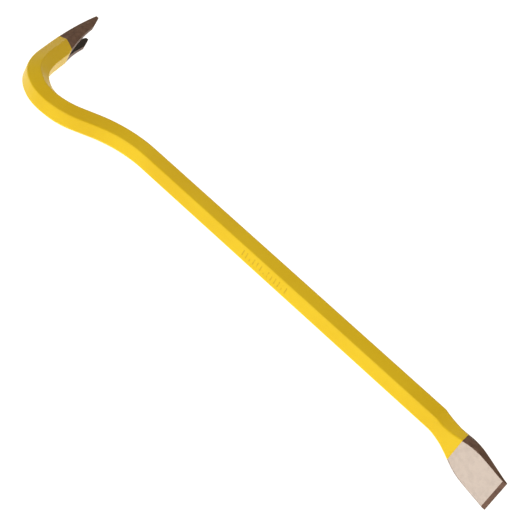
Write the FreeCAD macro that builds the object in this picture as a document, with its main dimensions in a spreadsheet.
import FreeCAD, Part

import math
import os

import Sketcher

# A gooseneck wrecking bar: one length of hexagonal steel with a split claw forged on its bent end and
# an angled chisel on the other, and the film of lacquer that covers it between the two.
#
# The model is drawn with the shank along X and every bend in the XY plane, so the bar lies on its
# side. The first bend starts at X = 0. The last step moves the model onto its own origin.

Vector = FreeCAD.Vector
ACROSS = Vector(0, 0, 1)
SHANK_HEADING = 180.0

doc = FreeCAD.newDocument("pry_bar")
sheet = doc.addObject("Spreadsheet::Sheet", "sizes")

# Lengths in millimetres, angles in degrees.
SIZES = {
    # the hexagonal stock
    "across_flats": 21.0,
    "corner_radius": 1.3,
    "lacquer": 0.2,
    # the gooseneck, from the shank to the root of the claw
    "shank_length": 342.0,
    "neck_radius": 74.5,
    "neck_angle": 44.5,
    "neck_run": 17.5,
    "crown_radius": 37.8,
    "crown_angle": 69.0,
    "brow_radius": 67.0,
    "brow_angle": 32.5,
    "reach_radius": 162.0,
    "reach_angle": 10.0,
    "reach_run": 28.0,
    # the claw
    "claw_length": 95.0,
    "claw_bow_radius": 420.0,
    "claw_width": 31.6,
    "claw_end_thickness": 8.4,
    "claw_corner_radius": 0.8,
    "claw_bevel_length": 21.8,
    "claw_edge": 3.0,
    "notch_length": 84.0,
    "notch_mouth": 23.0,
    "notch_waist": 16.5,
    "notch_root_radius": 0.9,
    # the chisel
    "chisel_length": 74.0,
    "chisel_drop": 30.2,
    "chisel_width": 30.4,
    "chisel_end_thickness": 2.6,
    "chisel_corner_radius": 0.5,
    "chisel_bevel_length": 4.6,
    "chisel_edge": 1.6,
    # the sides of both ends are crowned by this much, then dressed to one width, which the bar lies on
    "side_crown": 0.15,
    "dressed_width": 30.0,
    # where the lacquer stops: from the root of the chisel, and from the root of the claw on its outer
    # and on its inner face
    "lacquer_onto_chisel": 27.2,
    "lacquer_onto_claw_outer": 21.0,
    "lacquer_onto_claw_inner": 6.0,
}

for row, (alias, value) in enumerate(SIZES.items(), start=1):
    sheet.set(f"A{row}", alias)
    sheet.set(f"B{row}", str(value))
    sheet.setAlias(f"B{row}", alias)
doc.recompute()


def size(alias):
    """The present value of a driving dimension."""
    return float(sheet.get(alias))


def heading_vector(degrees):
    return Vector(math.cos(math.radians(degrees)), math.sin(math.radians(degrees)), 0)


def smooth_step(share):
    share = min(max(share, 0.0), 1.0)
    return share * share * (3 - 2 * share)


# ---------------------------------------------------------------- sketches


def new_sketch(body, name, placement=FreeCAD.Placement()):
    """An empty sketch on the body's XY plane, moved by a placement."""
    sketch = body.newObject("Sketcher::SketchObject", name)
    plane = next(f for f in body.Origin.OriginFeatures if f.Role == "XY_Plane")
    sketch.AttachmentSupport = (plane, "")
    sketch.MapMode = "FlatFace"
    sketch.AttachmentOffset = placement
    return sketch


def bind(sketch, kind, *places, value, expression):
    """Adds a dimension and ties it to the sheet."""
    index = sketch.addConstraint(Sketcher.Constraint(kind, *places, value))
    sketch.setExpression(f"Constraints[{index}]", expression)


def check_solved(sketch):
    if sketch.solve() != 0:
        raise RuntimeError(f"{sketch.Name} doesn't solve")


# ---------------------------------------------------------------- the line of the gooseneck

# Each run is a straight (length,) or a bend (radius, angle, turn), turn +1 to the left of the
# direction of travel, away from the hook, and -1 to the right.
GOOSENECK = [
    ("neck_radius", "neck_angle", 1),
    ("neck_run",),
    ("crown_radius", "crown_angle", -1),
    ("brow_radius", "brow_angle", -1),
    ("reach_radius", "reach_angle", -1),
    ("reach_run",),
]


def gooseneck_end():
    """The point and the heading where the claw starts."""
    point = Vector(0, 0, 0)
    heading = SHANK_HEADING
    for run in GOOSENECK:
        if len(run) == 1:
            point += heading_vector(heading) * size(run[0])
        else:
            radius, angle, turn = size(run[0]), size(run[1]), run[2]
            centre = point + heading_vector(heading + 90 * turn) * radius
            heading += angle * turn
            point = centre - heading_vector(heading + 90 * turn) * radius
    return point, heading


def draw_centre_line(body):
    """The line that the stock follows, from the root of the chisel to the root of the claw."""
    sketch = new_sketch(body, "centre_line")
    point = Vector(0, 0, 0)
    shank_start = Vector(size("shank_length"), 0, 0)
    sketch.addGeometry(Part.LineSegment(shank_start, point), False)
    sketch.addConstraint(Sketcher.Constraint("Coincident", 0, 2, -1, 1))
    sketch.addConstraint(Sketcher.Constraint("PointOnObject", 0, 1, -1))
    bind(sketch, "Distance", 0, value=size("shank_length"), expression="sizes.shank_length")

    heading = SHANK_HEADING
    piece, piece_end = 0, 2
    for run in GOOSENECK:
        if len(run) == 1:
            length = size(run[0])
            end = point + heading_vector(heading) * length
            new = sketch.addGeometry(Part.LineSegment(point, end), False)
            new_start, new_end = 1, 2
            dimension = ("Distance", length)
        else:
            radius, angle, turn = size(run[0]), size(run[1]), run[2]
            centre = point + heading_vector(heading + 90 * turn) * radius
            start_angle = heading - 90 * turn
            heading += angle * turn
            end = centre + heading_vector(heading - 90 * turn) * radius
            low, high = sorted((start_angle, heading - 90 * turn))
            circle = Part.Circle(centre, ACROSS, radius)
            arc = Part.ArcOfCircle(circle, math.radians(low), math.radians(high))
            new = sketch.addGeometry(arc, False)
            new_start, new_end = (1, 2) if turn > 0 else (2, 1)
            dimension = ("Radius", radius)
        sketch.addConstraint(Sketcher.Constraint("Tangent", piece, piece_end, new, new_start))
        bind(sketch, dimension[0], new, value=dimension[1], expression="sizes." + run[0])
        if len(run) == 3:
            bind(sketch, "Angle", new, value=math.radians(angle), expression=f"sizes.{run[1]} * 1 deg")
        piece, piece_end = new, new_end
        point = end
    check_solved(sketch)
    return sketch


# ---------------------------------------------------------------- cross-sections

# A cross-section has six corners, three on each side of its middle: "outer" on the outside of the
# hook, "side" at the side of the bar, and "inner" on the inside of the hook. Each is a half width and
# an offset towards the inside of the hook, as expressions of the sheet's cells.


def value_of(expression):
    """Works out an expression of the sheet's cells."""
    value = sheet.evalExpression(expression)
    return float(getattr(value, "Value", value))


def draw_section(body, name, origin, heading, corners, radius):
    """A six-cornered outline with rounded corners, square to a heading of the bar."""
    inward = heading_vector(heading - 90)
    turn = FreeCAD.Rotation(ACROSS, inward, heading_vector(heading), "ZXY")
    sketch = new_sketch(body, name, FreeCAD.Placement(origin, turn))

    one_side = [Vector(value_of(x), value_of(y), 0) for x, y in corners]
    ring = one_side + [Vector(-p.x, p.y, 0) for p in reversed(one_side)]
    count = len(ring)
    corner_radius = value_of(radius)

    starts, ends = [], []
    for i, corner in enumerate(ring):
        before = (ring[i - 1] - corner).normalize()
        after = (ring[(i + 1) % count] - corner).normalize()
        half_angle = before.getAngle(after) / 2
        cut = corner_radius / math.tan(half_angle)
        bisector = (before + after).normalize()
        centre = corner + bisector * (corner_radius / math.sin(half_angle))
        starts.append(corner + before * cut)
        ends.append(corner + after * cut)
        sketch.addGeometry(Part.Arc(starts[i], centre - bisector * corner_radius, ends[i]), False)
    for i in range(count):
        sketch.addGeometry(Part.LineSegment(ends[i], starts[(i + 1) % count]), False)
    for corner in ring:
        sketch.addGeometry(Part.Point(corner), True)

    for i in range(count):
        following = (i + 1) % count
        sketch.addConstraint(Sketcher.Constraint("Tangent", i, 2, count + i, 1))
        sketch.addConstraint(Sketcher.Constraint("Tangent", count + i, 2, following, 1))
        line_before = count + (i - 1) % count
        sketch.addConstraint(Sketcher.Constraint("PointOnObject", 2 * count + i, 1, count + i))
        sketch.addConstraint(Sketcher.Constraint("PointOnObject", 2 * count + i, 1, line_before))
    bind(sketch, "Radius", 0, value=corner_radius, expression=radius)
    for i in range(1, count):
        sketch.addConstraint(Sketcher.Constraint("Equal", 0, i))
    for i, (x, y) in enumerate(corners):
        point = 2 * count + i
        mirrored = 3 * count - 1 - i
        bind(sketch, "DistanceX", -1, 1, point, 1, value=one_side[i].x, expression=x)
        bind(sketch, "DistanceY", -1, 1, point, 1, value=one_side[i].y, expression=y)
        sketch.addConstraint(Sketcher.Constraint("Symmetric", point, 1, mirrored, 1, -2))
    check_solved(sketch)
    return sketch


# ---------------------------------------------------------------- the forging

# Shares of the claw's and of the chisel's length at which their sections stand.
CLAW_STATIONS = (0.0, 0.12, 0.3, 0.55, 0.78, 1.0)
CHISEL_STATIONS = (0.0, 0.15, 0.3, 0.45, 0.6, 0.8, 1.0)
# The claw's half widths grow with these powers of the share of its length.
CLAW_OUTER_SPREAD_POWER = 1.6
CLAW_INNER_SPREAD_POWER = 0.6
# How fast the side corners of the hexagon fade into the flat sides of the claw.
CLAW_SIDE_FADE_POWER = 4
# The shares of its length between which the chisel widens.
CHISEL_SPREAD_START = 0.1
CHISEL_SPREAD_END = 0.6

HEX_FLAT = "(sizes.across_flats / 2 * tan(30 deg))"
HEX_CORNER = "(sizes.across_flats / 2 / cos(30 deg))"


def between(first, last, share):
    """The expression of a size that share of the way from one expression to another."""
    return f"({first}) * {1 - share:.4f} + ({last}) * {share:.4f}"


def grown(corners, growth):
    """The corners of an outline that stands proud of another all over by growth."""
    side_growth = f"{growth} * tan(30 deg)"
    outer, side, inner = corners
    return [
        (f"{outer[0]} + {side_growth}", f"{outer[1]} - {growth}"),
        (f"{side[0]} + {growth} / cos(30 deg)", side[1]),
        (f"{inner[0]} + {side_growth}", f"{inner[1]} + {growth}"),
    ]


def hexagon():
    half = "sizes.across_flats / 2"
    return [(HEX_FLAT, f"-({half})"), (HEX_CORNER, "0"), (HEX_FLAT, half)]


def claw_section(share):
    """Corners a share of the way along the claw, measured from its outer face."""
    thickness = between("sizes.across_flats", "sizes.claw_end_thickness", share)
    half_width = "sizes.claw_width / 2"
    outer = between(HEX_FLAT, half_width, share**CLAW_OUTER_SPREAD_POWER)
    inner = between(HEX_FLAT, half_width, share**CLAW_INNER_SPREAD_POWER)
    hexagonal = (1 - share) ** CLAW_SIDE_FADE_POWER
    side = f"max(({outer} + {inner}) / 2 + {HEX_FLAT} * {hexagonal:.4f}; {inner}) + sizes.side_crown"
    if share == 0:
        side = HEX_CORNER
    return [(outer, "0"), (side, f"({thickness}) / 2"), (inner, thickness)]


def chisel_section(share):
    """Corners a share of the way along the chisel, measured from the middle of the shank."""
    half = "sizes.across_flats / 2"
    outer_end = "-sizes.chisel_drop"
    inner_end = "sizes.chisel_end_thickness - sizes.chisel_drop"
    spread = smooth_step((share - CHISEL_SPREAD_START) / (CHISEL_SPREAD_END - CHISEL_SPREAD_START))
    half_width = between(HEX_FLAT, "sizes.chisel_width / 2", spread)
    outer_offset = between(f"-{half}", outer_end, share)
    inner_offset = between(half, inner_end, share)
    side = between(HEX_CORNER, "(sizes.chisel_width / 2 + sizes.side_crown)", spread)
    middle = f"(({outer_offset}) + ({inner_offset})) / 2"
    return [(half_width, outer_offset), (side, middle), (half_width, inner_offset)]


def claw_station(share):
    """The point on the claw's outer face, and its heading, a share of the way along."""
    start, heading = gooseneck_end()
    outer = start + heading_vector(heading + 90) * (size("across_flats") / 2)
    radius = size("claw_bow_radius")
    centre = outer + heading_vector(heading - 90) * radius
    turned = math.degrees(size("claw_length") * share / radius)
    point = centre + heading_vector(heading - turned + 90) * radius
    return point, heading - turned


def chisel_station(share):
    """The point on the shank's own line, and its heading, a share of the way along the chisel."""
    return Vector(size("shank_length") + size("chisel_length") * share, 0, 0), SHANK_HEADING


def forge(body, growth="0"):
    """Stock, claw and chisel as one solid, standing proud of the steel by an expression."""
    radius = f"sizes.corner_radius + {growth}"
    shank_start = Vector(size("shank_length"), 0, 0)
    profile = draw_section(
        body, "stock_section", shank_start, SHANK_HEADING, grown(hexagon(), growth), radius
    )
    centre_line = draw_centre_line(body)
    doc.recompute()

    stock = body.newObject("PartDesign::AdditivePipe", "stock")
    stock.Profile = profile
    stock.Spine = (centre_line, [f"Edge{i + 1}" for i in range(len(centre_line.Shape.Edges))])
    stock.Mode = "Binormal"
    stock.Binormal = ACROSS
    doc.recompute()

    for name, stations, stand, section in (
        ("claw", CLAW_STATIONS, claw_station, claw_section),
        ("chisel", CHISEL_STATIONS, chisel_station, chisel_section),
    ):
        sections = []
        for number, share in enumerate(stations):
            point, heading = stand(share)
            corners = grown(section(share), growth)
            radius = between("sizes.corner_radius", f"sizes.{name}_corner_radius", share)
            label = f"{name}_section_{number}"
            sections.append(draw_section(body, label, point, heading, corners, f"{radius} + {growth}"))
        loft(body, name, sections)


def loft(body, name, sections):
    doc.recompute()
    feature = body.newObject("PartDesign::AdditiveLoft", name)
    feature.Profile = sections[0]
    feature.Sections = sections[1:]
    doc.recompute()
    return feature


# ---------------------------------------------------------------- cuts


def draw_polygon(body, name, placement, corners):
    """A closed polygon whose corners are pairs of expressions."""
    sketch = new_sketch(body, name, placement)
    points = [Vector(value_of(x), value_of(y), 0) for x, y in corners]
    count = len(points)
    for i in range(count):
        sketch.addGeometry(Part.LineSegment(points[i], points[(i + 1) % count]), False)
    for i in range(count):
        sketch.addConstraint(Sketcher.Constraint("Coincident", i, 2, (i + 1) % count, 1))
    for i, (x, y) in enumerate(corners):
        bind(sketch, "DistanceX", -1, 1, i, 1, value=points[i].x, expression=x)
        bind(sketch, "DistanceY", -1, 1, i, 1, value=points[i].y, expression=y)
    check_solved(sketch)
    return sketch


def cut_through(body, name, sketch, depth):
    """Pockets a sketch to both sides, and makes sure that it removes something."""
    doc.recompute()
    before = body.Shape.Volume
    pocket = body.newObject("PartDesign::Pocket", name)
    pocket.Profile = sketch
    pocket.Midplane = True
    pocket.setExpression("Length", depth)
    doc.recompute()
    if body.Shape.Volume >= before:
        raise RuntimeError(f"{name} cuts nothing")


def claw_side_plane(share):
    """The side view of the claw: X along it towards the tip, Y towards the inside of the hook."""
    point, heading = claw_station(share)
    turn = FreeCAD.Rotation(heading_vector(heading), heading_vector(heading - 90), -ACROSS, "ZXY")
    return FreeCAD.Placement(point, turn)


def split_claw(body):
    """The notch that takes a nail: narrow at its root, and nearly parallel towards the tips."""
    tip, tip_heading = claw_station(1)
    root, root_heading = claw_station(0)
    heading = (tip_heading + root_heading) / 2
    outward = ACROSS.cross(heading_vector(heading))
    turn = FreeCAD.Rotation(ACROSS, heading_vector(heading), outward, "ZXY")
    sketch = new_sketch(body, "notch_outline", FreeCAD.Placement(tip, turn))

    length, radius = size("notch_length"), size("notch_root_radius")
    mouth, waist = size("notch_mouth") / 2, size("notch_waist") / 2
    overrun = size("claw_width")
    root_y = radius - length
    root_arc = Part.Arc(Vector(-radius, root_y, 0), Vector(0, -length, 0), Vector(radius, root_y, 0))
    right = Part.Arc(Vector(radius, root_y, 0), Vector(waist, -length / 2, 0), Vector(mouth, 0, 0))
    left = Part.Arc(Vector(-mouth, 0, 0), Vector(-waist, -length / 2, 0), Vector(-radius, root_y, 0))
    beyond = Vector(0, overrun, 0)
    right_top, left_top = Vector(mouth, 0, 0), Vector(-mouth, 0, 0)
    corners = [right_top, right_top + beyond, left_top + beyond, left_top]
    sketch.addGeometry(root_arc, False)
    sketch.addGeometry(right, False)
    for first, second in zip(corners, corners[1:]):
        sketch.addGeometry(Part.LineSegment(first, second), False)
    sketch.addGeometry(left, False)
    sketch.addGeometry(Part.Point(Vector(waist, -length / 2, 0)), True)
    sketch.addGeometry(Part.Point(Vector(-waist, -length / 2, 0)), True)

    def join(first, first_end, second, second_end):
        sketch.addConstraint(Sketcher.Constraint("Coincident", first, first_end, second, second_end))

    def place(element, end, x, y):
        where = sketch.getPoint(element, end)
        bind(sketch, "DistanceX", -1, 1, element, end, value=where.x, expression=x)
        bind(sketch, "DistanceY", -1, 1, element, end, value=where.y, expression=y)

    bottom_y = "sizes.notch_root_radius - sizes.notch_length"
    middle_y = "-sizes.notch_length / 2"
    for sign, curve, curve_foot, curve_top, root_end, wall, wall_foot, mark in (
        ("", 1, 1, 2, 2, 2, 1, 6),
        ("-", 5, 2, 1, 1, 4, 2, 7),
    ):
        # An arc drawn clockwise is stored the other way round, so its ends are found by place.
        if abs(sketch.getPoint(curve, curve_foot).y - root_y) > radius:
            curve_foot, curve_top = curve_top, curve_foot
        join(0, root_end, curve, curve_foot)
        join(curve, curve_top, wall, wall_foot)
        place(0, root_end, f"{sign}sizes.notch_root_radius", bottom_y)
        place(wall, wall_foot, f"{sign}sizes.notch_mouth / 2", "0")
        place(mark, 1, f"{sign}sizes.notch_waist / 2", middle_y)
        sketch.addConstraint(Sketcher.Constraint("PointOnObject", mark, 1, curve))
        sketch.addConstraint(Sketcher.Constraint("Vertical", wall))
    join(2, 2, 3, 1)
    join(3, 2, 4, 1)
    sketch.addConstraint(Sketcher.Constraint("Horizontal", 3))
    bind(sketch, "Distance", 2, value=overrun, expression="sizes.claw_width")
    bind(sketch, "DistanceY", -1, 1, 0, 3, value=root_y, expression=bottom_y)
    check_solved(sketch)
    cut_through(body, "notch", sketch, "sizes.across_flats * 4")


def bevel_claw(body):
    """Grinds the inner face of both tines down to the edge that goes under a nail head."""
    share = "sizes.claw_bevel_length / sizes.claw_length"
    thickness = f"(sizes.claw_end_thickness + (sizes.across_flats - sizes.claw_end_thickness) * {share})"
    # The claw bows inwards, so its outer face has moved this far towards the inside at the bevel's start.
    bow = "sizes.claw_bevel_length * sizes.claw_bevel_length / sizes.claw_bow_radius / 2"
    rise = f"({thickness} + {bow} - sizes.claw_edge)"
    overrun = 0.3
    start = (f"-sizes.claw_bevel_length * {1 + overrun}", f"sizes.claw_edge + {rise} * {1 + overrun}")
    end = (f"sizes.claw_bevel_length * {overrun}", f"sizes.claw_edge - {rise} * {overrun}")
    sketch = draw_polygon(
        body, "claw_bevel_outline", claw_side_plane(1), [start, end, (end[0], start[1])]
    )
    cut_through(body, "claw_bevel", sketch, "sizes.claw_width * 2")


def bevel_chisel(body):
    """Grinds the outer face of the chisel at its edge."""
    corner = Vector(size("shank_length") + size("chisel_length"), -size("chisel_drop"), 0)
    line = "sizes.chisel_end_thickness - sizes.chisel_edge"
    overrun = 0.5
    start = (f"-sizes.chisel_bevel_length * {1 + overrun}", line)
    end = (f"sizes.chisel_bevel_length * {overrun}", line)
    below = (end[0], "-sizes.chisel_bevel_length")
    sketch = draw_polygon(
        body, "chisel_bevel_outline", FreeCAD.Placement(corner, FreeCAD.Rotation()), [start, end, below]
    )
    cut_through(body, "chisel_bevel", sketch, "sizes.chisel_width * 2")


def dress_sides(body):
    """Takes both ends down to the same width, so that the bar lies flat."""
    far = "(sizes.shank_length + sizes.chisel_length * 2)"
    near = "-sizes.shank_length"
    side = "sizes.shank_length"
    for name, flip in (("top", 0), ("bottom", 180)):
        turn = FreeCAD.Rotation(Vector(1, 0, 0), flip)
        height = turn.multVec(ACROSS) * (size("dressed_width") / 2)
        placement = FreeCAD.Placement(height, turn)
        corners = [(near, f"-{side}"), (far, f"-{side}"), (far, side), (near, side)]
        sketch = draw_polygon(body, f"{name}_side_outline", placement, corners)
        doc.recompute()
        before = body.Shape.Volume
        pocket = body.newObject("PartDesign::Pocket", f"{name}_side")
        pocket.Profile = sketch
        pocket.Reversed = True
        pocket.setExpression("Length", "sizes.across_flats")
        doc.recompute()
        if not before * 0.99 < body.Shape.Volume < before:
            raise RuntimeError(f"{name}_side is cut the wrong way")


def trim_lacquer(body):
    """Ends the lacquer at a line across the claw and at a line across the chisel."""
    outer, inner = "sizes.lacquer_onto_claw_outer", "sizes.lacquer_onto_claw_inner"
    beyond = "sizes.claw_length * 1.4"
    reach = "sizes.across_flats * 2"
    overrun = 1.0
    first = (f"{outer} + ({outer} - {inner}) * {overrun}", f"-sizes.across_flats * {overrun}")
    second = (f"{inner} - ({outer} - {inner}) * {overrun}", f"sizes.across_flats * {1 + overrun}")
    corners = [first, (beyond, first[1]), (beyond, reach), second]
    sketch = draw_polygon(body, "claw_end_outline", claw_side_plane(0), corners)
    cut_through(body, "claw_end", sketch, "sizes.claw_width * 2")

    line = "sizes.shank_length + sizes.lacquer_onto_chisel"
    end = "sizes.shank_length + sizes.chisel_length * 2"
    corners = [(line, f"-({reach})"), (end, f"-({reach})"), (end, reach), (line, reach)]
    sketch = draw_polygon(body, "chisel_end_outline", FreeCAD.Placement(), corners)
    cut_through(body, "chisel_end", sketch, "sizes.chisel_width * 2")


# ---------------------------------------------------------------- the two pieces


def make_forged_bar():
    body = doc.addObject("PartDesign::Body", "forged_bar")
    body.Label = "forged_bar"
    forge(body)
    split_claw(body)
    bevel_claw(body)
    bevel_chisel(body)
    dress_sides(body)
    return body


def make_lacquer_coat(bar):
    """The film is a slightly larger forging, trimmed at both ends, with the steel taken out of it."""
    blank = doc.addObject("PartDesign::Body", "lacquer_blank")
    blank.Label = "lacquer_blank"
    forge(blank, "sizes.lacquer")
    trim_lacquer(blank)
    coat = doc.addObject("Part::Cut", "lacquer_coat")
    coat.Label = "lacquer_coat"
    coat.Base = blank
    coat.Tool = bar
    doc.recompute()
    return blank, coat


def stand_on_origin(bodies, pieces):
    """Moves the bodies so that the middle of the underside of the whole bar is the origin.

    The underside is the plane of the dressed faces.
    """
    whole = Part.makeCompound([piece.Shape for piece in pieces])
    box = whole.optimalBoundingBox(False, False)
    height = size("dressed_width") / 2
    shift = Vector(-(box.XMin + box.XMax) / 2, -(box.YMin + box.YMax) / 2, height)
    for body in bodies:
        body.Placement = FreeCAD.Placement(shift, FreeCAD.Rotation())
    doc.recompute()


bar = make_forged_bar()
blank, coat = make_lacquer_coat(bar)
pieces = [bar, coat]
stand_on_origin([bar, blank], pieces)

for item in doc.Objects:
    if "Invalid" in item.State or "Error" in item.State:
        raise RuntimeError(f"{item.Label} didn't compute")
for piece in pieces:
    if piece.Shape.isNull() or not piece.Shape.isValid() or len(piece.Shape.Solids) != 1:
        raise RuntimeError(f"{piece.Label} isn't one sound solid")

os.makedirs("parts", exist_ok=True)
for piece in pieces:
    piece.Shape.exportStep(os.path.join("parts", piece.Label + ".step"))
